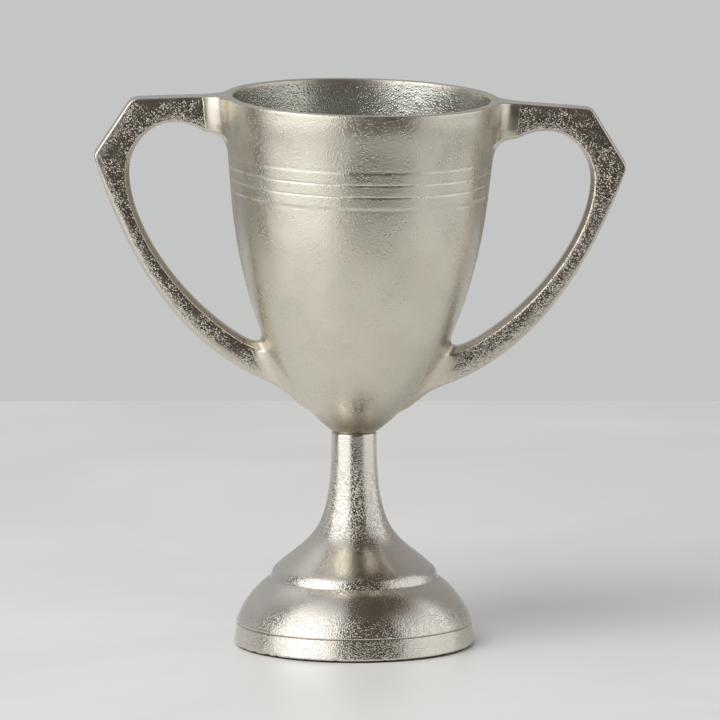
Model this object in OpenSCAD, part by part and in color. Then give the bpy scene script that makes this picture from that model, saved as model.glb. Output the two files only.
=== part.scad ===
// Two-handled presentation cup on a pedestal foot.
// Millimetres, +Z up, origin at the centre of the felt face that rests on the table.
// A single stud clamps base plate, pedestal and bowl; the handles are welded to the bowl.

/* [Bowl] */
// Height of the bowl above its seat on the stem
bowl_h = 152.5; // [110:0.5:200]
// Outer radius of the bowl at the rim
rim_r = 62.5; // [50:0.5:80]
// How much narrower the bowl is under its ribs than at the rim
rim_flare = 4.1; // [1:0.1:8]
// Wall thickness of the bowl
bowl_wall = 4.2; // [3:0.1:6]
// Rounding of the two rim edges
rim_round = 0.7; // [0.3:0.1:1.2]
// Sideways lean of the bowl on its stem, in degrees
bowl_lean = 1.3; // [0:0.1:3]
// Angle at which the bowl leaves its seat, in degrees
bottom_angle = 37; // [25:1:50]
// Length over which the bottom keeps that angle
bottom_pull = 34; // [20:1:45]
// Angle of the bowl's wall just below the ribs, in degrees from upright
wall_angle = 5.5; // [2:0.5:10]
// Length over which the wall keeps that angle
wall_pull = 50; // [30:1:60]
// Thickness of metal from the seat to the inside floor
floor_h = 17; // [15:0.5:22]

/* [Ribs] */
// Number of ribs round the bowl
rib_count = 3; // [1:1:4]
// Height of one rib
rib_pitch = 5.5; // [4:0.1:7]
// How far a rib stands out
rib_relief = 0.6; // [0.3:0.1:1]
// Depth of the top of the ribs below the rim
rib_drop = 26.3; // [20:0.1:34]

/* [Handles] */
// Thickness of a handle, front to back
handle_t = 12; // [8:0.5:15]
// Rounding of the upper outer corner
corner_round = 3; // [1:0.5:6]
// Rounding of the tip
tip_round = 2.2; // [1:0.1:5]
// Reach of the upper outer corner beyond the rim
corner_reach = 41.5; // [34:0.5:55]
// Drop of that corner below the rim
corner_drop = 2.5; // [0:0.5:5]
// Reach of the tip beyond the rim
tip_reach = 58; // [48:0.5:72]
// Drop of the tip below the rim
tip_drop = 28.6; // [22:0.1:36]
// Height above the seat where the lower edge meets the bowl
root_h = 19; // [17:0.5:24]
// Reach of the opening beyond the rim
opening_reach = 41.6; // [30:0.1:43]
// Drop of the opening's widest place below the rim
opening_drop = 35.6; // [30:0.1:42]
// Reach of the opening's highest place beyond the rim
arch_reach = 21.5; // [16:0.5:26]
// Depth of the top bar at that place
bar_depth = 13; // [9:0.5:16]
// Depth of the top bar where it meets the bowl
bar_root_depth = 17; // [14:0.5:20]
// Height up the bowl that the root of the lower arm takes
arm_root = 17.7; // [14:0.1:22]

/* [Welds] */
// Leg of a weld along the handle
weld_leg = 8; // [5:0.5:10]
// Leg of a weld along the bowl
weld_side = 6; // [4:0.5:8]
// Thickness of a weld where it fades out
weld_toe = 0.3; // [0.2:0.1:0.5]

/* [Pedestal] */
// Height of the bowl's seat above the table
seat_z = 97.5; // [85:0.5:125]
// Radius of the stem at its top
stem_r = 10.2; // [9:0.1:14]
// Height of the lip round the foot
lip_z = 35.4; // [30:0.1:42]
// Radius of the lip
lip_r = 38.2; // [33:0.1:42]
// Height of the lip's upright face
lip_h = 4.8; // [3:0.1:7]
// Radius of the pedestal at its lower edge
foot_r = 53.4; // [47:0.1:62]
// Wall thickness of the hollow foot
foot_wall = 6; // [5:0.5:8]

/* [Base plate] */
// Radius of the base plate at its underside
plate_r = 54.4; // [48:0.1:63]
// Height of the base plate's rim
plate_t = 9.3; // [8:0.1:12]
// Draft of the base plate's rim
plate_draft = 0.5; // [0:0.1:1]
// Bevel of the two edges that meet at the seam
seam_bevel = 0.5; // [0.3:0.1:0.8]
// Thickness of the plate under the washer's seat
web_t = 5; // [4:0.5:7]
// Width of metal round the nut's recess
boss_wall = 4.5; // [3:0.5:6]

/* [Fastening] */
// Diameter of the stud's thread
stud_d = 8; // [6:0.5:8]
// Clearance of the stud in its through holes, on the diameter
stud_clear = 0.8; // [0.4:0.1:1]
// Depth of the tapped hole in the bowl
tap_depth = 12; // [10:0.5:13]
// Free space above the stud in the tapped hole
tap_spare = 1; // [0.5:0.1:2]
// Width of the nut across its flats
nut_af = 13; // [12:0.5:14]
// Height of the nut
nut_h = 6.5; // [5:0.1:7]
// Outer diameter of the flat washer
washer_d = 17; // [16:0.5:18]
// Thickness of the flat washer
washer_t = 1.6; // [1:0.1:2]
// Outer diameter of the spring washer
spring_d = 14.8; // [14:0.1:15]
// Thickness of the spring washer
spring_t = 2; // [1.5:0.1:2.5]
// Split of the spring washer
spring_gap = 1.2; // [0.8:0.1:2]
// Length of stud that shows below the nut
stud_show = 0.8; // [0.5:0.1:1]
// Room round the washer in its recess
recess_clear = 2; // [1.5:0.5:3]

/* [Pad] */
// Thickness of the felt pad
pad_t = 0.8; // [0.6:0.1:2]
// How far the pad's edge stays inside the plate's
pad_inset = 0.9; // [0.4:0.1:2]

/* [Hidden] */
$fn = 96;
// Points along a long curve, a short curve and one rib
long_steps = 22;
short_steps = 8;
rib_steps = 6;
// Overshoot of a cut, and how far a root reaches into the bowl before it is coped
cut = 1;
sink = 9;
// How far a weld's curve runs on under the bowl's surface, so that the two cross at an angle
weld_bite = 2;
// Room past its ends that a weld's blank is drawn with, and how far its lower tail runs down the bowl
weld_room = 18;
weld_tail = 9;

// Bowl, in its own frame: axis upright, seat at height 0
rib_top_h = bowl_h - rib_drop;
rib_low_h = rib_top_h - rib_count * rib_pitch;
rib_low_r = rim_r - rim_flare;
// The inside floor blends into the wall over about this height
floor_blend = 5;
// Metal below the leaning bowl's lower edge, which its level seat is cut from
stub = 1;

// Handles, in the bowl's frame
hand_half = handle_t / 2;
tip = [rim_r + tip_reach, bowl_h - tip_drop];
opening = [rim_r + opening_reach, bowl_h - opening_drop];
arch = [rim_r + arch_reach, bowl_h - bar_depth];
// Directions and lengths that shape the long outer edge and the opening
outer_dir = 18;
outer_pull = 98;
root_dir = 31;
root_pull = 9;
root_reach = 3;
inner_pull = 29;
inner_dir = 19;
inner_root_pull = 33;
arch_pull = 11;
arch_side_pull = 12;
// Place of the opening's lower end along the bowl
crotch_h = root_h + arm_root;

// Pedestal and base plate
plate_top = pad_t + plate_t;
stem_round = 0.7;
// The stem widens a little under its top and narrows again at its waist
neck_h = 7.5;
neck_swell = 0.3;
waist_swell = -0.2;
bell_pull = 38;
// Direction in which the bell runs out to the lip, and the two rounded steps of the lip's edge
bell_end = [-16, 15];
lip_back = 2.4;
lip_step = [1.2, -1.2];
lip_face = [1.6, -2.6];
// Directions in which the dome leaves the lip and meets the plate
dome_start = [6.3, -4];
dome_end = [-2, 7.5];
dome_steps = 11;
hollow_top = lip_z - lip_h - foot_wall;
hollow_r = foot_r - foot_wall;
hollow_top_r = lip_r - foot_wall;
hollow_draft = 1;

// Fastening, from the recess's roof down
recess_r = washer_d / 2 + recess_clear;
stud_inset = 1;
washer_z = pad_t + stud_inset + stud_show + nut_h + spring_t;
recess_top = washer_z + washer_t;
boss_r = recess_r + boss_wall;
boss_clear = 0.5;
boss_top = recess_top + web_t;
spring_z = washer_z - spring_t;
nut_z = spring_z - nut_h;
stud_low = nut_z - stud_show;
stud_top = seat_z + tap_depth - tap_spare;
bore_d = stud_d + stud_clear;
stud_lead = 1;
stud_bevel = 0.4;

function heading(a) = [cos(a), sin(a)];
function bez2(a, b, c, n) = [
    for (i = [0:n]) let (t = i / n) (1 - t) ^ 2 * a + 2 * (1 - t) * t * b + t ^ 2 * c
];
function bez3(a, b, c, d, n) = [
    for (i = [0:n]) let (t = i / n)
        (1 - t) ^ 3 * a + 3 * (1 - t) ^ 2 * t * b + 3 * (1 - t) * t ^ 2 * c + t ^ 3 * d
];
function tail(list) = [for (i = [1:len(list) - 1]) list[i]];
function turned(list) = [for (i = [len(list) - 1:-1:0]) list[i]];
// A corner b between a and c, rounded over the length r on both sides
function blunt(a, b, c, r) = bez2(b + r * unit(a - b), b, b + r * unit(c - b), 4);
// Arc of radius r about c, from angle a to angle b
function arc(c, r, a, b, n) = [for (i = [0:n]) c + r * heading(a + (b - a) * i / n)];

// Radius of the plain cone that the ribs and the rim stand on
function cone_r(h) = rib_low_r + rim_flare * (h - rib_low_h) / (bowl_h - rib_low_h);

// Outer curve of the bowl from the seat to the lowest rib
function belly() = bez3(
    [stem_r, 0],
    [stem_r, 0] + bottom_pull * heading(bottom_angle),
    [rib_low_r, rib_low_h] - wall_pull * heading(90 - wall_angle),
    [rib_low_r, rib_low_h],
    long_steps
);

// Radius of the outer curve at a height, by going along it
function belly_r(h, pts, i = 0) =
    pts[i + 1][1] >= h || i + 2 >= len(pts)
        ? pts[i][0] + (pts[i + 1][0] - pts[i][0]) * (h - pts[i][1]) / (pts[i + 1][1] - pts[i][1])
        : belly_r(h, pts, i + 1);
function on_bowl(h) = [belly_r(h, belly()), h];

function ribs() = [
    for (i = [0:rib_count - 1], j = [1:rib_steps])
        let (s = j / rib_steps, h = rib_low_h + rib_pitch * (i + s))
            [cone_r(h) + rib_relief * 4 * s * (1 - s), h]
];

function bowl_outside() = concat(belly(), ribs());

// The inside curve keeps the wall's thickness and blends into a level floor
function unit(v) = v / norm(v);
function across(v) = [-v[1], v[0]];
function smooth_max(a, b, k) = (a + b + sqrt((a - b) ^ 2 + k ^ 2)) / 2;
function inside_curve(pts) = [
    for (i = [1:len(pts) - 2])
        let (p = pts[i] + bowl_wall * across(unit(pts[i + 1] - pts[i - 1])))
            if (p[0] > 0) [p[0], smooth_max(p[1], floor_h, floor_blend)]
];

// What copes the handles and the welds: the bowl's outside, filled and carried on above the rim
module bowl_filled() {
    top_h = bowl_h + sink;
    rotate([0, 0, 90]) rotate_extrude()
        polygon(concat([[0, 0]], bowl_outside(), [[rim_r, bowl_h - rim_round], [rim_r, top_h], [0, top_h]]));
}

module bowl_shell() {
    outer = concat(
        bowl_outside(),
        arc([rim_r - rim_round, bowl_h - rim_round], rim_round, 0, 90, 3)
    );
    lip = arc([rim_r - bowl_wall + rim_round, bowl_h - rim_round], rim_round, 90, 180, 3);
    inner = turned(inside_curve(belly()));
    floor_end = [0, smooth_max(0, floor_h, floor_blend / 2)];
    rotate_extrude() polygon(concat([[0, -stub], [stem_r, -stub]], outer, lip, inner, [floor_end]));
}

// Places what is drawn in the bowl's frame on the stem, leaning as the bowl leans
module on_seat() {
    translate([0, 0, seat_z]) rotate([0, bowl_lean, 0]) children();
}

module below_seat() {
    translate([-rim_r, -rim_r, seat_z - rim_r]) cube([2 * rim_r, 2 * rim_r, rim_r]);
}

module bowl() {
    color([0.66, 0.63, 0.57])
    difference() {
        on_seat() bowl_shell();
        below_seat();
        translate([0, 0, seat_z - cut]) cylinder(d = stud_d, h = tap_depth + cut);
    }
}

// Outline of a handle as one closed run, clockwise seen from the front
function handle_outer() =
    let (
        start = [rim_r - bowl_wall, bowl_h],
        corner = [rim_r + corner_reach, bowl_h - corner_drop],
        root = on_bowl(root_h) + [root_reach, 0],
        inward = -heading(root_dir),
        sweep = bez3(
            tip,
            tip - outer_pull * [sin(outer_dir), cos(outer_dir)],
            root - root_pull * inward,
            root,
            long_steps
        )
    )
    concat(
        [start],
        blunt(start, corner, tip, corner_round),
        blunt(corner, tip, sweep[1], tip_round),
        tail(sweep),
        [root + sink * inward]
    );

function handle_inner() =
    let (
        root = on_bowl(crotch_h),
        inward = -heading(inner_dir),
        roof = [rim_r + weld_leg, bowl_h - bar_root_depth]
    )
    concat(
        [root + sink / 2 * inward],
        turned(bez3(
            opening,
            opening - [0, inner_pull],
            root - inner_root_pull * inward,
            root,
            long_steps
        )),
        tail(bez3(opening, opening + [0, arch_pull], arch + [arch_side_pull, 0], arch, short_steps)),
        tail(bez2(arch, [(arch[0] + roof[0]) / 2, arch[1]], roof, short_steps)),
        [[rim_r - bowl_wall, roof[1]]]
    );

module handle_blank() {
    rotate([90, 0, 0]) linear_extrude(handle_t, center = true)
        polygon(concat(handle_outer(), handle_inner()));
}

// A handle is coped to the outside of the bowl
module handle() {
    difference() {
        handle_blank();
        bowl_filled();
    }
}

// A ground weld: a collar that flares from the handle out to the bowl
// plan is its outline across the handle, elevation its outline seen from the front
module weld_collar(plan, elevation, low, high) {
    intersection() {
        translate([0, 0, low]) linear_extrude(high - low) polygon(plan);
        rotate([90, 0, 0]) linear_extrude(handle_t + 2 * weld_room, center = true) polygon(elevation);
    }
}

// Plan of a collar between a wall at x0 (its flare starts at x1) and the handle's sides
function flare(x0, x1) =
    let (side = bez2(
        [x1, hand_half + weld_toe],
        [x0 + weld_leg / 3, hand_half + weld_toe],
        [x0 - weld_bite, hand_half + weld_side],
        short_steps
    ))
    concat(
        [[x0 - weld_side, hand_half + weld_side]],
        turned(side),
        [for (p = side) [p[0], -p[1]]],
        [[x0 - weld_side, -hand_half - weld_side]]
    );

module upper_weld() {
    roof = bowl_h - bar_root_depth;
    wall = rim_r - bowl_wall / 4;
    under = bez2(
        [rim_r + weld_leg, roof - weld_toe],
        [wall + weld_leg / 4, roof - weld_toe],
        [wall - weld_bite, roof - weld_side],
        short_steps
    );
    elevation = concat(
        [[wall - weld_side, bowl_h], [rim_r + weld_leg, bowl_h - corner_drop * weld_leg / corner_reach]],
        under,
        [[wall - weld_side, roof - weld_side]]
    );
    difference() {
        weld_collar(flare(wall, rim_r + weld_leg), elevation, roof - weld_side - cut, bowl_h + cut);
        bowl_filled();
        handle_blank();
    }
}

// The lower collar is drawn in a frame that lies along the bowl's sloping wall
module lower_weld() {
    foot = on_bowl(root_h - weld_side / 2);
    head = on_bowl(crotch_h + weld_side);
    slope = atan2(head[0] - foot[0], head[1] - foot[1]);
    root = on_bowl(root_h);
    crotch = on_bowl(crotch_h);
    arm = [root_reach, 0] + weld_leg / 2 * heading(root_dir);
    outer_end = root + arm - weld_toe * across(heading(root_dir));
    inner_end = crotch + weld_leg * heading(inner_dir) + weld_toe * across(heading(inner_dir));
    bite = [weld_bite / 2, 0];
    tail_end = on_bowl(root_h - weld_tail) - bite;
    elevation = concat(
        turned(bez2(head - bite, crotch + [weld_toe, weld_toe], inner_end, short_steps)),
        [foot - [weld_side, 0], tail_end],
        tail(bez2(tail_end, root + [weld_toe, -weld_side / 2], outer_end, short_steps))
    );
    difference() {
        intersection() {
            translate([foot[0], 0, foot[1]]) rotate([0, slope, 0])
                translate([0, 0, -weld_room]) linear_extrude(norm(head - foot) + 2 * weld_room)
                    polygon(flare(0, weld_leg));
            rotate([90, 0, 0]) linear_extrude(handle_t + 2 * weld_room, center = true) polygon(elevation);
        }
        bowl_filled();
        handle_blank();
    }
}

module left_handle() {
    color([0.55, 0.53, 0.50]) on_seat() mirror([1, 0, 0]) handle();
}

module right_handle() {
    color([0.55, 0.53, 0.50]) on_seat() handle();
}

module left_upper_weld() {
    color([0.72, 0.69, 0.63]) on_seat() mirror([1, 0, 0]) upper_weld();
}

module left_lower_weld() {
    color([0.72, 0.69, 0.63]) on_seat() mirror([1, 0, 0]) lower_weld();
}

module right_upper_weld() {
    color([0.72, 0.69, 0.63]) on_seat() upper_weld();
}

module right_lower_weld() {
    color([0.72, 0.69, 0.63]) on_seat() lower_weld();
}

// Stem, bell flare, lip, ledge and dome, from the top down
function pedestal_outside() =
    let (
        neck = [stem_r + neck_swell, seat_z - neck_h],
        waist = [stem_r + waist_swell, seat_z - neck_h - bell_pull],
        lip_top = [lip_r - lip_back, lip_z],
        lip_low = [lip_r, lip_z - lip_h],
        dome_low = [foot_r, plate_top + seam_bevel]
    )
    concat(
        [[stem_r - stem_round, seat_z], [stem_r, seat_z - stem_round]],
        bez3(neck, waist, lip_top + bell_end, lip_top, long_steps),
        tail(bez2(lip_top, lip_top + lip_step, lip_top + lip_face, 3)),
        bez3(lip_low, lip_low + dome_start, dome_low + dome_end, dome_low, dome_steps)
    );

module pedestal() {
    color([0.62, 0.60, 0.55])
    difference() {
        rotate_extrude() polygon(concat(
            pedestal_outside(),
            [[foot_r - seam_bevel, plate_top], [0, plate_top], [0, seat_z]]
        ));
        rotate_extrude() polygon(concat(
            [[boss_r - cut, plate_top - cut], [hollow_r, plate_top - cut], [hollow_r, plate_top]],
            tail(bez2(
                [hollow_r, plate_top],
                [hollow_r - hollow_draft, hollow_top],
                [hollow_top_r, hollow_top],
                short_steps
            )),
            [[boss_r - cut, hollow_top]]
        ));
        translate([0, 0, plate_top - cut]) cylinder(r = boss_r + boss_clear, h = boss_top - plate_top + cut);
        cylinder(d = bore_d, h = seat_z + cut);
    }
}

module base_plate() {
    color([0.60, 0.58, 0.53])
    difference() {
        union() {
            rotate_extrude() polygon([
                [0, pad_t], [plate_r - seam_bevel, pad_t], [plate_r, pad_t + seam_bevel],
                [plate_r - plate_draft, plate_top - seam_bevel],
                [plate_r - plate_draft - seam_bevel, plate_top], [0, plate_top]
            ]);
            translate([0, 0, pad_t]) cylinder(r = boss_r, h = boss_top - pad_t);
        }
        translate([0, 0, pad_t - cut]) cylinder(r = recess_r, h = recess_top - pad_t + cut);
        cylinder(d = bore_d, h = boss_top + cut);
    }
}

module tie_stud() {
    color([0.75, 0.75, 0.72])
    rotate_extrude() polygon([
        [0, stud_low], [stud_d / 2 - stud_bevel, stud_low], [stud_d / 2, stud_low + stud_bevel],
        [stud_d / 2, stud_top - stud_lead], [stud_d / 2 - stud_lead, stud_top], [0, stud_top]
    ]);
}

module flat_washer() {
    color([0.75, 0.75, 0.72])
    translate([0, 0, washer_z]) difference() {
        cylinder(d = washer_d, h = washer_t);
        translate([0, 0, -cut]) cylinder(d = stud_d + stud_clear / 2, h = washer_t + 2 * cut);
    }
}

module spring_washer() {
    color([0.70, 0.70, 0.68])
    translate([0, 0, spring_z]) difference() {
        cylinder(d = spring_d, h = spring_t);
        translate([0, 0, -cut]) cylinder(d = stud_d + stud_clear / 2, h = spring_t + 2 * cut);
        translate([0, -spring_gap / 2, -cut]) cube([spring_d, spring_gap, spring_t + 2 * cut]);
    }
}

module hex_nut() {
    color([0.75, 0.75, 0.72])
    translate([0, 0, nut_z]) difference() {
        cylinder(d = nut_af / cos(30), h = nut_h, $fn = 6);
        translate([0, 0, -cut]) cylinder(d = stud_d, h = nut_h + 2 * cut);
    }
}

module base_pad() {
    color([0.16, 0.12, 0.10]) cylinder(r = plate_r - seam_bevel - pad_inset, h = pad_t);
}

bowl();
left_handle();
right_handle();
left_upper_weld();
left_lower_weld();
right_upper_weld();
right_lower_weld();
pedestal();
base_plate();
tie_stud();
flat_washer();
spring_washer();
hex_nut();
base_pad();
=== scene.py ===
"""Looks of a two-handled presentation cup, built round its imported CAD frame.

Shapes are worked out in millimetres and become meshes in metres. The bowl, its handles and
their welds are drawn in the bowl's own frame, upright with the seat at height 0, and then
lean as the bowl leans. Every casting is a clean form with its sand texture pressed into it
along the surface's normals. The ribs are flatter than the CAD model's, the brim turns upright
up to about 0.3 mm outside it, and the foot meets the plate at a slit. All stays within its box.
"""
import math

import bpy
import numpy as np
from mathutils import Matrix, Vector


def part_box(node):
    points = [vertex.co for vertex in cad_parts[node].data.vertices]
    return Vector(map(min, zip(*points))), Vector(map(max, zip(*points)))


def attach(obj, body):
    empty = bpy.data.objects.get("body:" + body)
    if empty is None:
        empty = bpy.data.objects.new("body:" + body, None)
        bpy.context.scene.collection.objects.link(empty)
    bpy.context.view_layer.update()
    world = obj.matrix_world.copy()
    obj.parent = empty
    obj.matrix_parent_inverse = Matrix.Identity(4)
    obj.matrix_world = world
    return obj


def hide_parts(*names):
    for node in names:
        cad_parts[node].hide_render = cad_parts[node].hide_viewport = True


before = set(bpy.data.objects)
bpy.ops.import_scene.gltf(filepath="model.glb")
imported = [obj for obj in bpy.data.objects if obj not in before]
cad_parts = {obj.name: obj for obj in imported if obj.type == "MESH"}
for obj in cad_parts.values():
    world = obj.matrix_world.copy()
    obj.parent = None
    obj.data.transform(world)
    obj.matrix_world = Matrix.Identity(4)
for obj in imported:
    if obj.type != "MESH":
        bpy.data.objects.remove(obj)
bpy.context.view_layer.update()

import openvdb

MM = 0.001


# ---- Sizes, in millimetres and degrees: the CAD's, apart from ribs, brim, draft and seam ----

def top_of(node):
    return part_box(node)[1].z / MM


SEAT_Z = top_of("pedestal")
PAD_T = top_of("base_pad")
RIM_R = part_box("bowl")[1].y / MM
PAD_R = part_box("base_pad")[1].x / MM
PLATE_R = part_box("base_plate")[1].x / MM
BOSS_TOP = top_of("base_plate")
BOWL_H = 152.5
BOWL_LEAN = 1.3
STEM_R = 10.2
RIM_FLARE = 4.1
WALL = 4.2
RIM_ROUND = 0.7
FLOOR_H = 17.0
FLOOR_BLEND = 5.0
TAP_R = 4.0
TAP_DEPTH = 12.0
RIB_COUNT = 3
RIB_PITCH = 5.5
RIB_RELIEF = 0.05
RIB_TOP_H = BOWL_H - 26.3
RIB_LOW_H = RIB_TOP_H - RIB_COUNT * RIB_PITCH
RIB_LOW_R = RIM_R - RIM_FLARE
RIB_STEPS = 20
BRIM_H = 9.0
GROOVE_LOW, GROOVE_HIGH = -0.55, 0.28
GROOVE_DEPTH = 0.26
GROOVE_WANDER = 0.12
END_GROOVE = 0.35
# How strongly the bowl's outside is darkened towards the stem, and the heights in mm over which this fades
# out
STEM_END_DARKENING = 0.9
STEM_END_LOW, STEM_END_HIGH = 2, 12
BELLY_PITCH, INSIDE_PITCH, STRAIGHT_PITCH = 1.3, 2.2, 1.0
BELLY_FOOT, BELLY_FOOT_ANGLE = 34.0, 37.0
BELLY_HEAD, BELLY_HEAD_ANGLE = 50.0, 84.5
HAND_HALF = 6.0
PLATE_T = 9.3
PLATE_TOP = PAD_T + PLATE_T
PLATE_DRAFT = 1.1
SEAM_BEVEL = 0.2
SEAM_GAP = 0.32
SEAM_DEPTH = 1.6
FOOT_BEVEL = 0.5
FOOT_R = 53.4
LIP_R = 38.2
LIP_Z = 35.4
LIP_H = 4.8
FOOT_WALL = 6.0
RECESS_R = 10.5
RECESS_TOP = 12.7
BOSS_R = 15.0
BORE_R = 4.4


# ---- Curves ----

def heading(degrees):
    return np.array([math.cos(math.radians(degrees)), math.sin(math.radians(degrees))])


def bezier(*controls, steps=60):
    """Points along a Bezier curve with any number of controls."""
    t = np.linspace(0, 1, steps + 1)[:, None]
    layer = [np.array(c, float)[None] for c in controls]
    while len(layer) > 1:
        layer = [(1 - t) * a + t * b for a, b in zip(layer, layer[1:])]
    return layer[0]


def arc(centre, radius, start, end, steps=6):
    return np.array([np.array(centre) + radius * heading(a) for a in np.linspace(start, end, steps + 1)])


def along(run, pitch):
    """The run with its points spread evenly, about one pitch apart."""
    run = np.array(run, float)
    reach = np.concatenate([[0], np.cumsum(np.linalg.norm(np.diff(run, axis=0), axis=1))])
    spots = np.linspace(0, reach[-1], max(2, int(round(reach[-1] / pitch)) + 1))
    return np.column_stack([np.interp(spots, reach, run[:, i]) for i in (0, 1)])


def chain(*runs):
    """Runs joined end to end, with a point that two of them share kept once."""
    points = [runs[0][0]]
    for run in runs:
        points += [p for p in run if np.linalg.norm(np.array(p) - points[-1]) > 1e-6]
    return np.array(points)


def smoothstep(low, high, value):
    t = np.clip((value - low) / (high - low), 0, 1)
    return t * t * (3 - 2 * t)


# ---- Noise that is the same in every run ----

def lumps(points, grain, seed):
    """Smooth noise from -1 to 1, with lumps about one grain across."""
    turn = np.array([[0.80, 0.36, -0.48], [-0.60, 0.48, -0.64], [0.0, 0.80, 0.60]])
    spot = points @ turn.T / grain + 31.7 * seed
    cell = np.floor(spot).astype(np.int64)
    part = spot - cell
    part = part * part * part * (part * (part * 6 - 15) + 10)
    total = np.zeros(len(points))
    for corner in np.ndindex(2, 2, 2):
        at = cell + corner
        mixed = at[:, 0] * 73856093 ^ at[:, 1] * 19349663 ^ at[:, 2] * 83492791 ^ seed * 2654435
        mixed = (mixed ^ mixed >> 15) * 2246822519 & 0xFFFFFFFF
        mixed = (mixed ^ mixed >> 13) * 3266489917 & 0xFFFFFFFF
        share = np.prod(np.where(corner, part, 1 - part), axis=1)
        total += share * ((mixed >> 8 & 0xFFFF) / 32767.5 - 1)
    return total


# ---- Signed distances, negative inside the metal ----

def to_run(points, run):
    """Distance from each plane point to the nearest stretch of a run."""
    best = np.full(len(points), np.inf)
    for a, b in zip(run, run[1:]):
        way = b - a
        t = np.clip((points - a) @ way / (way @ way), 0, 1)
        gap = points - a - t[:, None] * way
        best = np.minimum(best, (gap * gap).sum(1))
    return np.sqrt(best)


def within(points, outline):
    """True for each plane point inside a closed outline."""
    odd = np.zeros(len(points), bool)
    for a, b in zip(outline, np.roll(outline, -1, axis=0)):
        crosses = (a[1] > points[:, 1]) != (b[1] > points[:, 1])
        if a[1] != b[1]:
            at = a[0] + (points[:, 1] - a[1]) * (b[0] - a[0]) / (b[1] - a[1])
            odd ^= crosses & (points[:, 0] < at)
    return odd


def side_of(points, run, extra=()):
    """Distance to the run, negative inside the outline that it and the extra corners close."""
    outline = np.vstack([run] + [np.array(e, float)[None] for e in extra])
    return np.where(within(points, outline), -1, 1) * to_run(points, run)


def tabled(distance, low, high, pitch=0.25):
    """A plane distance, worked out once on a grid and then blended between its points."""
    low = np.array(low, float)
    axes = [np.arange(a, b + pitch, pitch) for a, b in zip(low, high)]
    grid = np.stack(np.meshgrid(*axes, indexing="ij"), axis=-1)
    table = distance(grid.reshape(-1, 2)).reshape(grid.shape[:2])

    def look_up(points):
        spot = (points - low) / pitch
        cell = np.clip(spot.astype(int), 0, np.array(table.shape) - 2)
        u, v = np.clip(spot - cell, 0, 1).T
        i, j = cell.T
        return ((1 - u) * ((1 - v) * table[i, j] + v * table[i, j + 1])
                + u * ((1 - v) * table[i + 1, j] + v * table[i + 1, j + 1]))
    return look_up


def rounded(a, b, radius):
    """Where two sides meet, with their edge rounded off."""
    p, q = a + radius, b + radius
    return np.minimum(np.maximum(p, q), 0) + np.hypot(np.maximum(p, 0), np.maximum(q, 0)) - radius


def bevelled(a, b, leg_a, leg_b):
    """Where two sides meet, with a flat cut across their edge."""
    flat = (a / leg_a + b / leg_b + 1) / np.hypot(1 / leg_a, 1 / leg_b)
    return np.maximum(np.maximum(a, b), flat)


# ---- Meshes ----

def mesh_piece(name, points, faces):
    """A smooth-shaded object from points in millimetres."""
    mesh = bpy.data.meshes.new(name)
    mesh.from_pydata((np.asarray(points) * MM).tolist(), [], [list(map(int, f)) for f in faces])
    mesh.validate()
    mesh.polygons.foreach_set("use_smooth", [True] * len(mesh.polygons))
    mesh.update()
    piece = bpy.data.objects.new(name, mesh)
    bpy.context.scene.collection.objects.link(piece)
    return piece


def points_of(piece):
    flat = np.empty(len(piece.data.vertices) * 3)
    piece.data.vertices.foreach_get("co", flat)
    return flat.reshape(-1, 3) / MM


def normals_of(piece):
    flat = np.empty(len(piece.data.vertices) * 3)
    piece.data.vertex_normals.foreach_get("vector", flat)
    return flat.reshape(-1, 3)


def place(piece, points):
    piece.data.vertices.foreach_set("co", (points * MM).ravel())
    piece.data.update()


def press(piece, depth):
    """Moves each point along its normal: below 0 cuts into the metal."""
    place(piece, points_of(piece) + normals_of(piece) * depth[:, None])


def keep(piece, name, values):
    """Stores one number a point, for the material to read."""
    piece.data.attributes.new(name, "FLOAT", "POINT").data.foreach_set("value", values.astype(np.float32))


def lathe(name, profile, columns, ring=False):
    """A turned surface. The profile runs with the metal on its left; an end on the axis closes to one
    point, and a ring's profile closes on itself."""
    turn = np.linspace(0, 2 * math.pi, columns, endpoint=False)
    points, starts, widths = [], [], []
    for r, z in profile:
        starts.append(len(points))
        if r < 1e-6:
            points.append((0, 0, z))
            widths.append(1)
        else:
            points += list(zip(r * np.cos(turn), r * np.sin(turn), np.full(columns, z)))
            widths.append(columns)
    order = list(range(len(profile))) + ([0] if ring else [])
    faces = []
    for low, high in zip(order, order[1:]):
        for i in range(columns):
            j = (i + 1) % columns
            quad = [starts[low] + i % widths[low], starts[low] + j % widths[low],
                    starts[high] + j % widths[high], starts[high] + i % widths[high]]
            faces.append(list(dict.fromkeys(quad)))
    return mesh_piece(name, points, faces)


def carve(name, low, high, voxel, distance):
    """The surface where distance(points) is 0, between two corners."""
    axes = [np.arange(a, b + voxel, voxel) for a, b in zip(low, high)]
    grid = np.stack(np.meshgrid(*axes, indexing="ij"), axis=-1)
    field = distance(grid.reshape(-1, 3)).reshape(grid.shape[:3]).astype(np.float32)
    volume = openvdb.FloatGrid(float(field.max()))
    volume.copyFromArray(field)
    points, quads = volume.convertToQuads(isovalue=0.0)
    return mesh_piece(name, points * voxel + np.array(low), quads)


def lean(points):
    """From the bowl's frame to the row frame."""
    c, s = math.cos(math.radians(BOWL_LEAN)), math.sin(math.radians(BOWL_LEAN))
    x, y, z = points.T
    return np.column_stack([x * c + z * s, y, z * c - x * s + SEAT_Z])


# ---- Bowl ----

COPE_H = 30.0
TABLE_LOW = (0, -3)
TABLE_HIGH = (125, BOWL_H + 4)
BELLY = bezier(
    (STEM_R, 0),
    np.array([STEM_R, 0]) + BELLY_FOOT * heading(BELLY_FOOT_ANGLE),
    np.array([RIB_LOW_R, RIB_LOW_H]) - BELLY_HEAD * heading(BELLY_HEAD_ANGLE),
    (RIB_LOW_R, RIB_LOW_H),
    steps=160,
)


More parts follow.
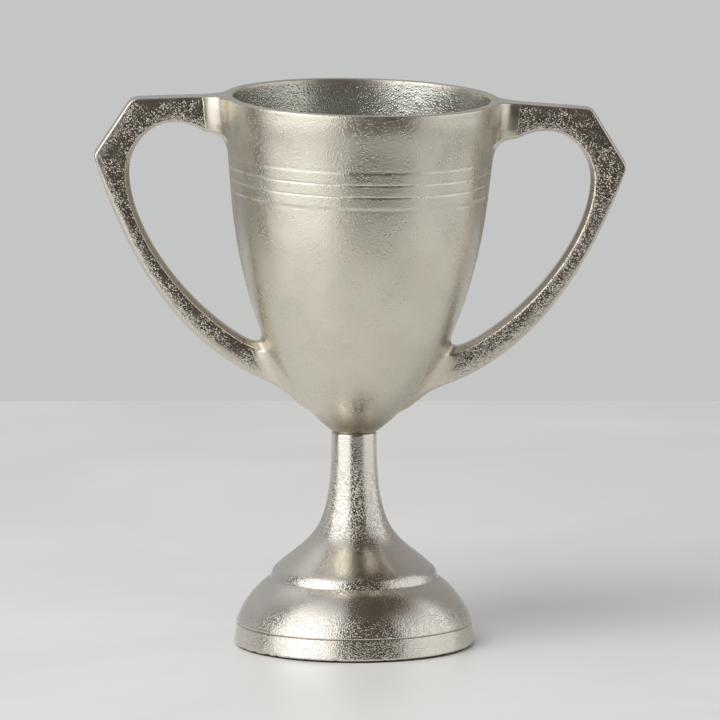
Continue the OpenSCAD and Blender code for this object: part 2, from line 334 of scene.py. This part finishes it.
def rib_run():
    """Ribs that stand on a plain cone, nearly flat, and meet in narrow grooves."""
    h = np.linspace(RIB_LOW_H, RIB_TOP_H, RIB_STEPS * RIB_COUNT + 1)
    across = 2 * ((h - RIB_LOW_H) / RIB_PITCH % 1) - 1
    cone = RIB_LOW_R + RIM_FLARE * (h - RIB_LOW_H) / (BOWL_H - RIB_LOW_H)
    return np.column_stack([cone + RIB_RELIEF * (1 - across ** 6), h])


def brim_run():
    """From the ribs to the rim, where the wall turns upright."""
    start, end = rib_run()[-1], np.array([RIM_R, BOWL_H - RIM_ROUND])
    return bezier(start, start + 0.6 * (end - start), end - (0, BRIM_H), end)


def bowl_outside():
    return chain(along(BELLY, BELLY_PITCH), rib_run(), along(brim_run(), STRAIGHT_PITCH))


def bowl_inside():
    """The belly moved in by the wall's thickness, and blended into a level floor."""
    way = np.gradient(BELLY, axis=0)
    way /= np.linalg.norm(way, axis=1)[:, None]
    inner = BELLY + WALL * np.column_stack([-way[:, 1], way[:, 0]])
    inner = inner[inner[:, 0] > 0.5]
    h = (inner[:, 1] + FLOOR_H + np.sqrt((inner[:, 1] - FLOOR_H) ** 2 + FLOOR_BLEND ** 2)) / 2
    wall = np.column_stack([inner[:, 0], h])
    lip_low = (RIM_R - WALL, BOWL_H - RIM_ROUND)
    floor_and_wall = chain([(0, h.min())], wall)
    return chain(along(floor_and_wall, INSIDE_PITCH), along([wall[-1], lip_low], STRAIGHT_PITCH))


def bowl_filled_run():
    """The bowl's outside carried on above the rim, as it copes the handles."""
    return chain([(0, 0)], BELLY, rib_run(), brim_run(), [(RIM_R, BOWL_H + COPE_H)])


BOWL_RUN = bowl_filled_run()
bowl_table = tabled(lambda plane: side_of(plane, BOWL_RUN, [(0, BOWL_H + COPE_H)]), TABLE_LOW, TABLE_HIGH)


def to_bowl(points):
    """Distance to the filled bowl, in the bowl's frame."""
    return bowl_table(np.column_stack([np.hypot(points[:, 0], points[:, 1]), points[:, 2]]))


# ---- Handles, drawn for the right side ----

TIP = np.array([120.5, BOWL_H - 28.6])
CORNER = np.array([104.0, BOWL_H - 2.5])
ARCH = np.array([84.0, BOWL_H - 13.0])
OPENING = np.array([104.1, BOWL_H - 35.6])
ROOT_H = 19.0
CROTCH_H = ROOT_H + 17.7
ROOF = np.array([70.5, BOWL_H - 17.0])
CORNER_BLUNT = 3.0
TIP_BLUNT = 2.2
ARM_PULL, ARM_ANGLE = 98.0, 72.0
ROOT_PULL, ROOT_ANGLE, ROOT_PROUD = 9.0, 31.0, 3.0
CROTCH_PULL, CROTCH_ANGLE, CROTCH_SINK = 33.0, 19.0, 4.5
OPENING_DOWN, OPENING_UP, ARCH_OUT = 29.0, 11.0, 12.0
FACE_DRAFT, DRAFT_WIDTH = 0.45, 5.0
EDGE_ROUND = 0.8
BEVEL, BEVEL_GROWTH, BEVEL_SLANT = 1.0, 0.9, 1.5
RIGHT_WEAR, LEFT_WEAR = 0.6, 1.7
HANDLE_SINK, HANDLE_VOXEL = 0.8, 0.42
WELD_SINK, WELD_VOXEL = 1.2, 0.5
UPPER_REACH, LOWER_REACH = 10.0, 8.5
BAR_FALL = 2.5


def on_bowl(h):
    return np.array([np.interp(h, BELLY[:, 1], BELLY[:, 0]), h])


def blunt(a, b, c, r):
    """The corner b between a and c, rounded over the length r on both sides."""
    def step(p):
        return b + r * (p - b) / np.linalg.norm(p - b)
    return bezier(step(a), b, step(c), steps=8)


def handle_outer():
    start = np.array([RIM_R - WALL, BOWL_H])
    root = on_bowl(ROOT_H) + (ROOT_PROUD, 0)
    inward = -heading(ROOT_ANGLE)
    sweep = bezier(TIP, TIP - ARM_PULL * heading(ARM_ANGLE), root - ROOT_PULL * inward, root, steps=70)
    return chain([start], blunt(start, CORNER, TIP, CORNER_BLUNT), blunt(CORNER, TIP, sweep[4], TIP_BLUNT),
                 sweep[2:], [root + ROOT_PULL * inward])


def handle_inner():
    root = on_bowl(CROTCH_H)
    inward = -heading(CROTCH_ANGLE)
    low = bezier(root, root - CROTCH_PULL * inward, OPENING - (0, OPENING_DOWN), OPENING, steps=60)
    side = bezier(OPENING, OPENING + (0, OPENING_UP), ARCH + (ARCH_OUT, 0), ARCH, steps=24)
    roof = bezier(ARCH, ((ARCH[0] + ROOF[0]) / 2, ARCH[1]), ROOF, steps=8)
    return chain([root + CROTCH_SINK * inward], low, side, roof, [(RIM_R - WALL, ROOF[1])])


OUTER, INNER = handle_outer(), handle_inner()
outer_table = tabled(lambda plane: side_of(plane, OUTER), TABLE_LOW, TABLE_HIGH)
inner_table = tabled(lambda plane: -side_of(plane, INNER), TABLE_LOW, TABLE_HIGH)


def to_handle(points, worn=RIGHT_WEAR):
    """Distance to the handle before it is coped, and the distances to its outer and inner edges.
    The lower arm's outer edge is rounded more by the radius worn."""
    outer, inner = outer_table(points[:, [0, 2]]), inner_table(points[:, [0, 2]])
    depth = np.minimum(-outer, -inner)
    face = np.abs(points[:, 1]) - HAND_HALF + FACE_DRAFT * (1 - smoothstep(-0.5, DRAFT_WIDTH, depth))
    below_tip = smoothstep(2, 26, TIP[1] - points[:, 2])
    solid = rounded(outer, face, EDGE_ROUND + worn * below_tip)
    # The opening's edge is bevelled, least under the top bar
    bevel = BEVEL + BEVEL_GROWTH * smoothstep(0, 18, ARCH[1] - points[:, 2])
    solid = np.maximum(solid, bevelled(inner, face, bevel, BEVEL_SLANT * bevel))
    return solid, outer, inner


def folded(points):
    """Points of the left half carried over to the right, where the handle is drawn."""
    return np.column_stack([np.abs(points[:, 0]), points[:, 1:]])


def blended(a, b, reach):
    """Both solids with a smooth fillet between them."""
    share = np.maximum(reach - np.abs(a - b), 0) / reach
    return np.minimum(a, b) - share * share * reach / 4


def mirrored(piece, name):
    """The left-hand copy of a right-hand piece, in the bowl's frame."""
    points = points_of(piece) * (-1, 1, 1)
    faces = [list(reversed(p.vertices)) for p in piece.data.polygons]
    return mesh_piece(name, points, faces)


def moved_left(piece, name):
    """Like mirrored, but the right-hand piece is used up."""
    copy = mirrored(piece, name)
    bpy.data.objects.remove(piece)
    return copy


def make_handle(name, worn):
    """A handle for the right side, coped to sink a little into the bowl."""
    def distance(points):
        return np.maximum(to_handle(points, worn)[0], -to_bowl(points) - HANDLE_SINK)
    return carve(name, (24, -8, 12), (122, 8, 154), HANDLE_VOXEL, distance)


def texture_handle(piece, seed, margin):
    """Rough cast faces in patches, with the roots and a margin along the edges ground smooth."""
    points, normals = points_of(piece), normals_of(piece)
    _, outer, inner = to_handle(folded(points))
    facing = smoothstep(0.55, 0.9, np.abs(normals[:, 1]))
    clear = smoothstep(6.5, 9.5, to_bowl(points))
    patch = smoothstep(-0.6, 0.1, lumps(points, 6.5, seed + 3))
    ragged = 0.9 * lumps(points, 3, seed)
    rough = smoothstep(margin, 2 * margin + 1, -outer + ragged) * smoothstep(0.8, 2.2, -inner + ragged)
    rough = facing * clear * rough * (0.3 + 0.7 * patch)
    keep(piece, "rough", rough)
    wave = 0.05 * lumps(points, 9, seed + 5) * clear
    press(piece, wave - 0.05 * clear + rough * (0.045 * lumps(points, 1.7, seed + 7) - 0.06))


def make_weld(name, low, high, reach):
    """A fillet between handle and bowl that thins out to nothing just under both surfaces."""
    def distance(points):
        bowl, handle = to_bowl(points), to_handle(points)[0]
        top = points[:, 2] - BOWL_H + BAR_FALL * (points[:, 0] - RIM_R + WALL) / (CORNER[0] - RIM_R + WALL)
        shape = np.maximum(blended(bowl, handle, reach) + 0.03, top + 0.05)
        return np.max([shape, -bowl - WELD_SINK, -handle - WELD_SINK, np.abs(bowl - handle) - reach], axis=0)
    return carve(name, low, high, WELD_VOXEL, distance)


# ---- Build ----

SLOTS = {}
BOWL_COLUMNS = 340
PEDESTAL_COLUMNS = 440
PLATE_COLUMNS = 480
PAD_COLUMNS = 360


def finish_piece(piece, slot, *nodes):
    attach(piece, "root")
    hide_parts(*nodes)
    SLOTS.setdefault(slot, []).append(piece)


def finish_leaning(piece, slot, node):
    place(piece, lean(points_of(piece)))
    finish_piece(piece, slot, node)


def build_bowl():
    outside, inside = bowl_outside(), bowl_inside()
    lip = chain(arc((RIM_R - RIM_ROUND, BOWL_H - RIM_ROUND), RIM_ROUND, 0, 90, 4),
                arc((RIM_R - WALL + RIM_ROUND, BOWL_H - RIM_ROUND), RIM_ROUND, 90, 180, 4))
    hole = np.array([(0, TAP_DEPTH), (TAP_R, TAP_DEPTH), (TAP_R, 0), (STEM_R - 0.3, 0)])
    profile = chain(hole, outside, lip, inside[::-1])
    piece = lathe("bowl_cast", profile, BOWL_COLUMNS)
    points, normals = points_of(piece), normals_of(piece)
    first = 1 + (len(hole) - 1) * BOWL_COLUMNS
    radius, h = np.hypot(points[:, 0], points[:, 1]), points[:, 2]
    outward = (points[:, 0] * normals[:, 0] + points[:, 1] * normals[:, 1]) / np.maximum(radius, 0.01)
    is_in = (outward < 0) | (radius < 2)
    is_in[:first] = False
    edge = smoothstep(0.4, 3.5, BOWL_H - h)
    near = to_handle(folded(points))[0]
    calm = smoothstep(6, 14, near)
    # Height above the nearest groove, which wanders a little round the bowl
    wander = GROOVE_WANDER * lumps(points, 4.5, 13)
    above = (h - RIB_LOW_H + RIB_PITCH / 2) % RIB_PITCH - RIB_PITCH / 2 + wander
    cusp = smoothstep(GROOVE_LOW, 0, above) * (1 - smoothstep(0, GROOVE_HIGH, above))
    cusp *= (h > RIB_LOW_H - 1) & (h < RIB_TOP_H + 1)
    cusp *= np.where((h > RIB_LOW_H + 1) & (h < RIB_TOP_H - 1), 1.0, END_GROOVE)
    outside_cut = (0.07 * lumps(points, 17, 11) + 0.03 * lumps(points, 6, 12) - 0.1
                   - cusp * (GROOVE_DEPTH + GROOVE_DEPTH * lumps(points, 2.4, 14)))
    inside_cut = 0.045 * lumps(points, 2.2, 15) + 0.07 * lumps(points, 11, 17)
    depth = np.where(is_in, inside_cut * edge, outside_cut * edge * calm)
    depth[:first] = 0
    press(piece, depth)
    keep(piece, "inside", np.where(is_in, edge, 0))
    # Outside, the base colour is darkened towards the stem: fully below the low height, fading out by the
    # high one
    keep(piece, "tarnish", np.where(is_in, 0, STEM_END_DARKENING * (1 - smoothstep(STEM_END_LOW, STEM_END_HIGH, h))))
    moved = lean(points_of(piece))
    upright = points_of(piece)[:first] + (0, 0, SEAT_Z)
    moved[:first] = upright
    moved[:, 2] = np.maximum(moved[:, 2], SEAT_Z)
    place(piece, moved)
    finish_piece(piece, "satin_cast", "bowl")


def build_handles_and_welds():
    """One pattern serves both sides, but the left handle's lower arm has been ground rounder."""
    right, left = make_handle("right_handle_cast", RIGHT_WEAR), make_handle("worn_handle", LEFT_WEAR)
    left = moved_left(left, "left_handle_cast")
    texture_handle(right, 40, 0.4)
    texture_handle(left, 60, 1.0)
    finish_leaning(right, "rough_cast", "right_handle")
    finish_leaning(left, "rough_cast", "left_handle")
    upper = make_weld("right_upper_weld_ground", (50, -17, 120), (80, 17, 154), UPPER_REACH)
    lower = make_weld("right_lower_weld_ground", (14, -16, 0), (70, 16, 60), LOWER_REACH)
    for weld in (upper, lower):
        keep(weld, "rough", np.zeros(len(weld.data.vertices)))
        copy = mirrored(weld, weld.name.replace("right", "left"))
        keep(copy, "rough", np.zeros(len(copy.data.vertices)))
        for piece in (weld, copy):
            finish_leaning(piece, "ground_weld", piece.name.replace("_ground", ""))


def build_pedestal():
    neck = np.array([STEM_R + 0.3, SEAT_Z - 16])
    waist = neck - (0.3, 34)
    bell = np.array([-16, 15])
    lip_top = np.array([LIP_R - 2.4, LIP_Z])
    lip_nose = lip_top + (1.6, -2.6)
    lip_low = np.array([LIP_R, LIP_Z - LIP_H])
    dome_low = np.array([FOOT_R, PLATE_TOP + SEAM_GAP + SEAM_BEVEL])
    hollow_top = LIP_Z - LIP_H - FOOT_WALL
    outside = chain(
        along([(STEM_R - 0.7, SEAT_Z), (STEM_R, SEAT_Z - 0.7)], 0.3),
        along(bezier((STEM_R, SEAT_Z - 0.7), neck, waist, lip_top + bell, lip_top), 0.6),
        along(bezier(lip_top, lip_top + (1.2, -1.2), lip_nose), 0.45),
        along([lip_nose, lip_low], 0.55),
        along(bezier(lip_low, lip_low + (6.3, -4), dome_low + (-2, 7.5), dome_low), 0.55),
        along([dome_low, dome_low - SEAM_BEVEL], 0.1),
        [(FOOT_R - SEAM_DEPTH, PLATE_TOP + SEAM_GAP), (FOOT_R - SEAM_DEPTH, PLATE_TOP)],
    )
    under = chain(
        [(FOOT_R - FOOT_WALL, PLATE_TOP)],
        along(bezier((FOOT_R - FOOT_WALL, PLATE_TOP), (FOOT_R - FOOT_WALL - 1, hollow_top),
                     (LIP_R - FOOT_WALL, hollow_top)), 3),
        [(BOSS_R + 0.5, hollow_top), (BOSS_R + 0.5, BOSS_TOP), (BORE_R, BOSS_TOP), (BORE_R, SEAT_Z)],
    )
    profile = chain(outside, under)[::-1]
    piece = lathe("pedestal_cast", profile, PEDESTAL_COLUMNS, ring=True)
    points = points_of(piece)
    radius, z = np.hypot(points[:, 0], points[:, 1]), points[:, 2]
    outer_z = np.interp(radius, np.maximum.accumulate(outside[:, 0]), outside[:, 1])
    shown = smoothstep(-2.5, -1.0, z - outer_z) * (radius > BORE_R + 1)
    stem = 1 - smoothstep(SEAT_Z - 22, SEAT_Z - 6, z)
    edge = smoothstep(0, 1.2, z - PLATE_TOP)
    flare = smoothstep(33, 37, z) * (1 - smoothstep(44, 54, z))
    shoulder = smoothstep(16, 22, z) * (1 - smoothstep(28, 30, z))
    throat = smoothstep(48, 56, z)
    rough = shown * (0.12 + 0.88 * stem) * (0.35 + 0.65 * edge)
    rough *= (0.6 + 0.4 * throat) * (1 - 0.75 * (flare + shoulder))
    keep(piece, "rough", rough)
    press(piece, rough * (0.02 * lumps(points, 2.4, 81) + 0.05 * lumps(points, 9, 83) - 0.07))
    finish_piece(piece, "bright_cast", "pedestal")


def build_plate():
    rim = PLATE_R - PLATE_DRAFT
    profile = chain(
        [(BORE_R, BOSS_TOP), (BORE_R, RECESS_TOP), (RECESS_R, RECESS_TOP), (RECESS_R, PAD_T)],
        along([(RECESS_R, PAD_T), (PLATE_R - FOOT_BEVEL, PAD_T)], 6),
        along([(PLATE_R - FOOT_BEVEL, PAD_T), (PLATE_R, PAD_T + FOOT_BEVEL)], 0.35),
        along([(PLATE_R, PAD_T + FOOT_BEVEL), (rim, PLATE_TOP - SEAM_BEVEL)], 0.5),
        along([(rim, PLATE_TOP - SEAM_BEVEL), (rim - SEAM_BEVEL, PLATE_TOP)], 0.1),
        along([(rim - SEAM_BEVEL, PLATE_TOP), (BOSS_R, PLATE_TOP)], 6),
        [(BOSS_R, BOSS_TOP)],
    )
    piece = lathe("base_plate_cast", profile, PLATE_COLUMNS, ring=True)
    points = points_of(piece)
    radius = np.hypot(points[:, 0], points[:, 1])
    shown = smoothstep(rim - 2, rim - 0.8, radius)
    chips = smoothstep(0.35, 0.8, lumps(points, 3.0, 91)) * (1 - smoothstep(0.5, 1.6, points[:, 2] - PAD_T))
    keep(piece, "rough", 0.5 * shown)
    press(piece, shown * (0.02 * lumps(points, 2.4, 93) + 0.05 * lumps(points, 9, 95) - 0.07 - 0.35 * chips))
    finish_piece(piece, "bright_cast", "base_plate")


def build_pad():
    profile = chain([(0, 0)], along([(0, 0), (PAD_R - 0.2, 0)], 5),
                    bezier((PAD_R - 0.2, 0), (PAD_R, PAD_T / 2), (PAD_R - 0.2, PAD_T), steps=4),
                    along([(PAD_R - 0.2, PAD_T), (0, PAD_T)], 5))
    piece = lathe("base_pad_felt", profile, PAD_COLUMNS)
    points = points_of(piece)
    ragged = smoothstep(PAD_R - 3, PAD_R, np.hypot(points[:, 0], points[:, 1]))
    points[:, :2] *= (1 - 0.004 * ragged * (1 + lumps(points, 1.6, 97)))[:, None]
    place(piece, points)
    finish_piece(piece, "felt", "base_pad")


# ---- Materials ----

def node_material(name, roughness, metallic):
    material = bpy.data.materials.new(name)
    material.use_nodes = True
    tree = material.node_tree
    shader = tree.nodes["Principled BSDF"]
    shader.inputs["Metallic"].default_value = metallic
    shader.inputs["Roughness"].default_value = roughness
    where = tree.nodes.new("ShaderNodeTexCoord").outputs["Object"]
    return material, tree, shader, where


def noise(tree, where, grain, detail=2.0, distortion=0.0):
    """Noise whose lumps are about one grain across, in millimetres."""
    made = tree.nodes.new("ShaderNodeTexNoise")
    made.inputs["Scale"].default_value = 0.8 / (grain * MM)
    made.inputs["Detail"].default_value = detail
    made.inputs["Distortion"].default_value = distortion
    tree.links.new(where, made.inputs["Vector"])
    return made.outputs["Fac"]


def grit(tree, where, grain, bare=0.0):
    """Packed grains about one grain across, 1 at their tops. Above 0, bare leaves room between them."""
    made = tree.nodes.new("ShaderNodeTexVoronoi")
    made.feature = "SMOOTH_F1"
    made.inputs["Scale"].default_value = 1 / (grain * MM)
    made.inputs["Smoothness"].default_value = 0.3
    tree.links.new(where, made.inputs["Vector"])
    return ramp(tree, made.outputs["Distance"], 0.0, 0.75 - bare, 1.0, 0.0)


def ramp(tree, value, low, high, at_low=0.0, at_high=1.0):
    """A smooth step from one number to another as value goes from low to high."""
    made = tree.nodes.new("ShaderNodeMapRange")
    made.interpolation_type = "SMOOTHSTEP"
    made.inputs["From Min"].default_value = low
    made.inputs["From Max"].default_value = high
    made.inputs["To Min"].default_value = at_low
    made.inputs["To Max"].default_value = at_high
    tree.links.new(value, made.inputs["Value"])
    return made.outputs["Result"]


def combine(tree, kind, a, b):
    """Arithmetic on two sockets or numbers."""
    made = tree.nodes.new("ShaderNodeMath")
    made.operation = kind
    for socket, value in zip(made.inputs, (a, b)):
        if isinstance(value, (int, float)):
            socket.default_value = value
        else:
            tree.links.new(value, socket)
    return made.outputs[0]


def tint(tree, factor, first, second):
    made = tree.nodes.new("ShaderNodeMix")
    made.data_type = "RGBA"
    made.inputs["A"].default_value = (*first, 1)
    made.inputs["B"].default_value = (*second, 1)
    tree.links.new(factor, made.inputs["Factor"])
    return made.outputs["Result"]


def mixed(tree, factor, under, over):
    """A colour socket with a plain colour laid over it."""
    made = tree.nodes.new("ShaderNodeMix")
    made.data_type = "RGBA"
    made.inputs["B"].default_value = (*over, 1)
    tree.links.new(factor, made.inputs["Factor"])
    tree.links.new(under, made.inputs["A"])
    return made.outputs["Result"]


def bump(tree, shader, height, depth, under=None):
    """Bump of a depth in millimetres, on top of an earlier one."""
    made = tree.nodes.new("ShaderNodeBump")
    made.inputs["Distance"].default_value = depth * MM
    tree.links.new(height, made.inputs["Height"])
    if under:
        tree.links.new(under, made.inputs["Normal"])
    tree.links.new(made.outputs["Normal"], shader.inputs["Normal"])
    return made.outputs["Normal"]


def stored(tree, name):
    made = tree.nodes.new("ShaderNodeAttribute")
    made.attribute_name = name
    return made.outputs["Fac"]


SATIN_TONES = (0.625, 0.585, 0.495), (0.67, 0.63, 0.54)
STEM_END_TONE = (0.33, 0.29, 0.22)
INSIDE_TONE = (0.56, 0.56, 0.51)


def satin_bowl():
    material, tree, shader, where = node_material("satin_nickel", 0.3, 1.0)
    inside = stored(tree, "inside")
    blotch = noise(tree, where, 14, 3)
    colour = tint(tree, ramp(tree, blotch, 0.35, 0.65), *SATIN_TONES)
    # The base colour is darker towards the stem end, as stored on the bowl's points
    stem_end_darkened = mixed(tree, stored(tree, "tarnish"), colour, STEM_END_TONE)
    tree.links.new(mixed(tree, inside, stem_end_darkened, INSIDE_TONE), shader.inputs["Base Color"])
    polish = ramp(tree, noise(tree, where, 7, 2), 0.3, 0.7, 0.26, 0.32)
    polish = combine(tree, "SUBTRACT", polish, combine(tree, "MULTIPLY", inside, 0.05))
    tree.links.new(polish, shader.inputs["Roughness"])
    pits = ramp(tree, noise(tree, where, 1.3, 2), 0.66, 0.74)
    skin = combine(tree, "SUBTRACT", grit(tree, where, 1.1, 0.25), pits)
    first = bump(tree, shader, skin, 0.07)
    bump(tree, shader, combine(tree, "MULTIPLY", inside, grit(tree, where, 1.3, 0.3)), 0.14, first)
    return material


def cast_nickel(name, base, polish, depth, grain, bare, even, soil):
    """Bright cast metal: smooth where the attribute rough is 0, sandy and sparkling where it is 1.
    The grains have bare metal between them, soil darkens their hollows, and even is 1 without clumps."""
    material, tree, shader, where = node_material(name, polish, 1.0)
    rough = stored(tree, "rough")
    clumps = ramp(tree, noise(tree, where, grain * 3, 2), 0.35, 0.6, even, 1.0)
    grains = combine(tree, "MULTIPLY", grit(tree, where, grain, bare), clumps)
    large = combine(tree, "MULTIPLY", grit(tree, where, grain * 1.7, bare), 0.2)
    grains = combine(tree, "ADD", grains, large)
    hollows = ramp(tree, noise(tree, where, grain * 2, 2), 0.35, 0.55, 1.0, 0.0)
    dark = tuple((1 - soil) * c for c in base)
    colour = tint(tree, combine(tree, "MULTIPLY", hollows, rough), base, dark)
    tree.links.new(colour, shader.inputs["Base Color"])
    shine = ramp(tree, noise(tree, where, 6, 2), 0.3, 0.7, polish - 0.03, polish + 0.05)
    tree.links.new(shine, shader.inputs["Roughness"])
    strength = combine(tree, "ADD", combine(tree, "MULTIPLY", rough, 0.93), 0.07)
    bump(tree, shader, combine(tree, "MULTIPLY", grains, strength), depth)
    return material


def zinc():
    material, tree, shader, where = node_material("zinc_steel", 0.35, 1.0)
    blotch = ramp(tree, noise(tree, where, 3, 3), 0.35, 0.65)
    tree.links.new(tint(tree, blotch, (0.55, 0.56, 0.55), (0.68, 0.69, 0.68)), shader.inputs["Base Color"])
    bump(tree, shader, noise(tree, where, 0.5, 2), 0.02)
    return material


def felt():
    material, tree, shader, where = node_material("dark_felt", 0.95, 0.0)
    shader.inputs["Sheen Weight"].default_value = 0.3
    fibre = noise(tree, where, 0.35, 4, 1.5)
    colour = tint(tree, fibre, (0.012, 0.009, 0.007), (0.05, 0.038, 0.03))
    tree.links.new(colour, shader.inputs["Base Color"])
    bump(tree, shader, fibre, 0.15)
    return material


def assign_materials():
    made = {
        "satin_cast": satin_bowl(),
        "rough_cast": cast_nickel("rough_nickel", base=(0.61, 0.567, 0.505), polish=0.18, depth=0.22,
                                  grain=0.75, bare=0.28, even=0.25, soil=0.2),
        "bright_cast": cast_nickel("bright_nickel", base=(0.68, 0.64, 0.575), polish=0.15, depth=0.17,
                                   grain=0.7, bare=0.16, even=0.75, soil=0.12),
        "ground_weld": cast_nickel("ground_nickel", base=(0.65, 0.60, 0.51), polish=0.27, depth=0.1,
                                   grain=0.9, bare=0.1, even=0.25, soil=0.1),
        "zinc_steel": zinc(),
        "felt": felt(),
    }
    for slot, pieces in SLOTS.items():
        for piece in pieces:
            piece.data.materials.clear()
            piece.data.materials.append(made[slot])
    for node in ("tie_stud", "flat_washer", "spring_washer", "hex_nut"):
        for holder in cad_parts[node].material_slots:
            holder.material = made["zinc_steel"]


# ---- Floor, light and camera ----

WALL_TONE = (0.552, 0.565, 0.558, 1)
TABLE_TONES = (0.77, 0.775, 0.755), (0.83, 0.835, 0.815)


def build_floor():
    near, back = 0.58, 0.69
    mesh = bpy.data.meshes.new("table")
    corners = [(-near, -near, 0), (near, -near, 0), (near, back, 0), (-near, back, 0)]
    mesh.from_pydata(corners, [], [(0, 1, 2, 3)])
    table = bpy.data.objects.new("table", mesh)
    bpy.context.scene.collection.objects.link(table)
    material, tree, shader, where = node_material("pale_table", 0.35, 0.0)
    cloud = ramp(tree, noise(tree, where, 180, 4, 0.6), 0.35, 0.7)
    tree.links.new(tint(tree, cloud, *TABLE_TONES), shader.inputs["Base Color"])
    mesh.materials.append(material)


def build_light():
    """A studio round the object as light by direction: a large softbox to the left with a hotter middle, a
    dimmer one to the right, a soft light overhead on the left, a grey wall behind, and a dark warm room
    towards the camera. Azimuth 0 is towards the camera."""
    world = bpy.data.worlds.new("studio")
    world.use_nodes = True
    tree = world.node_tree
    tree.nodes.clear()
    way = tree.nodes.new("ShaderNodeTexCoord").outputs["Generated"]
    split = tree.nodes.new("ShaderNodeSeparateXYZ")
    tree.links.new(way, split.inputs[0])
    forward = combine(tree, "MULTIPLY", split.outputs["Y"], -1.0)
    azimuth = combine(tree, "ARCTAN2", split.outputs["X"], forward)
    height = split.outputs["Z"]

    def window(left, right, soft):
        """1 between two azimuths in degrees, with edges that fade over soft degrees."""
        opens = ramp(tree, azimuth, math.radians(left - soft), math.radians(left + soft))
        shuts = ramp(tree, azimuth, math.radians(right - soft), math.radians(right + soft), 1.0, 0.0)
        return combine(tree, "MULTIPLY", opens, shuts)

    def lit(share, low, high, strength):
        """Light of a strength in one share of the azimuths, between two heights."""
        rises = ramp(tree, height, low - 0.05, low + 0.05)
        falls = ramp(tree, height, high - 0.2, high + 0.2, 1.0, 0.0)
        tall = combine(tree, "MULTIPLY", rises, falls)
        return combine(tree, "MULTIPLY", combine(tree, "MULTIPLY", share, tall), strength)

    behind = combine(tree, "MULTIPLY", ramp(tree, split.outputs["Y"], -0.05, 0.55, 0.12, 0.48),
                     ramp(tree, split.outputs["X"], -0.8, 0.8, 1.12, 0.78))
    behind = combine(tree, "MULTIPLY", behind, ramp(tree, height, -0.3, 0.1, 0.65, 1.0))
    over = combine(tree, "MULTIPLY", ramp(tree, height, 0.5, 0.9),
                   ramp(tree, split.outputs["X"], -0.25, 0.02, 0.45, 0.0))
    total = combine(tree, "ADD", behind, over)
    softbox = lit(window(-88, -18, 8), -0.3, 0.82, 1.5)
    hot_middle = lit(window(-70, -36, 12), 0.05, 0.65, 0.9)
    right_box = lit(window(50, 116, 9), -0.3, 0.7, 0.92)
    for share in (softbox, hot_middle, right_box):
        total = combine(tree, "ADD", total, share)
    room = tree.nodes.new("ShaderNodeBackground")
    warm = ramp(tree, total, 0.05, 0.5)
    tree.links.new(tint(tree, warm, (1.0, 0.84, 0.7), (0.98, 0.985, 1.0)), room.inputs["Color"])
    tree.links.new(total, room.inputs["Strength"])
    wall = tree.nodes.new("ShaderNodeBackground")
    wall.inputs["Color"].default_value = WALL_TONE
    seen = tree.nodes.new("ShaderNodeLightPath").outputs["Is Camera Ray"]
    mix = tree.nodes.new("ShaderNodeMixShader")
    out = tree.nodes.new("ShaderNodeOutputWorld")
    tree.links.new(seen, mix.inputs["Fac"])
    tree.links.new(room.outputs[0], mix.inputs[1])
    tree.links.new(wall.outputs[0], mix.inputs[2])
    tree.links.new(mix.outputs[0], out.inputs["Surface"])
    bpy.context.scene.world = world


LAMP_SIZE = 1.0
LAMP_POWER = 15
LAMP_AT = (-0.6, -0.8, 1.6)
CAMERA_AT = (0.0027, -7.164, 1.2632)
CAMERA_TILT = 90 - 8.99
CAMERA_LENS = 801.6
CAMERA_FAR = 40


def build_lamp():
    """A soft lamp over the table's near left, for the table alone: no metal reflects it."""
    lamp = bpy.data.objects.new("table_lamp", bpy.data.lights.new("table_lamp", "AREA"))
    lamp.data.size = LAMP_SIZE
    lamp.data.energy = LAMP_POWER
    lamp.location = LAMP_AT
    lamp.rotation_euler = (math.radians(22), math.radians(-16), 0)
    lamp.visible_glossy = False
    bpy.context.scene.collection.objects.link(lamp)


def build_camera():
    """A long lens 7.2 m away, looking down 9 degrees, as the object was seen."""
    camera = bpy.data.objects.new("camera", bpy.data.cameras.new("camera"))
    camera.data.sensor_width = 36
    camera.data.lens = CAMERA_LENS
    camera.data.clip_end = CAMERA_FAR
    camera.location = CAMERA_AT
    camera.rotation_euler = (math.radians(CAMERA_TILT), 0, 0)
    bpy.context.scene.collection.objects.link(camera)
    bpy.context.scene.camera = camera
    bpy.context.scene.view_settings.view_transform = "Standard"


build_bowl()
build_handles_and_welds()
build_pedestal()
build_plate()
build_pad()
assign_materials()
build_floor()
build_light()
build_lamp()
build_camera()
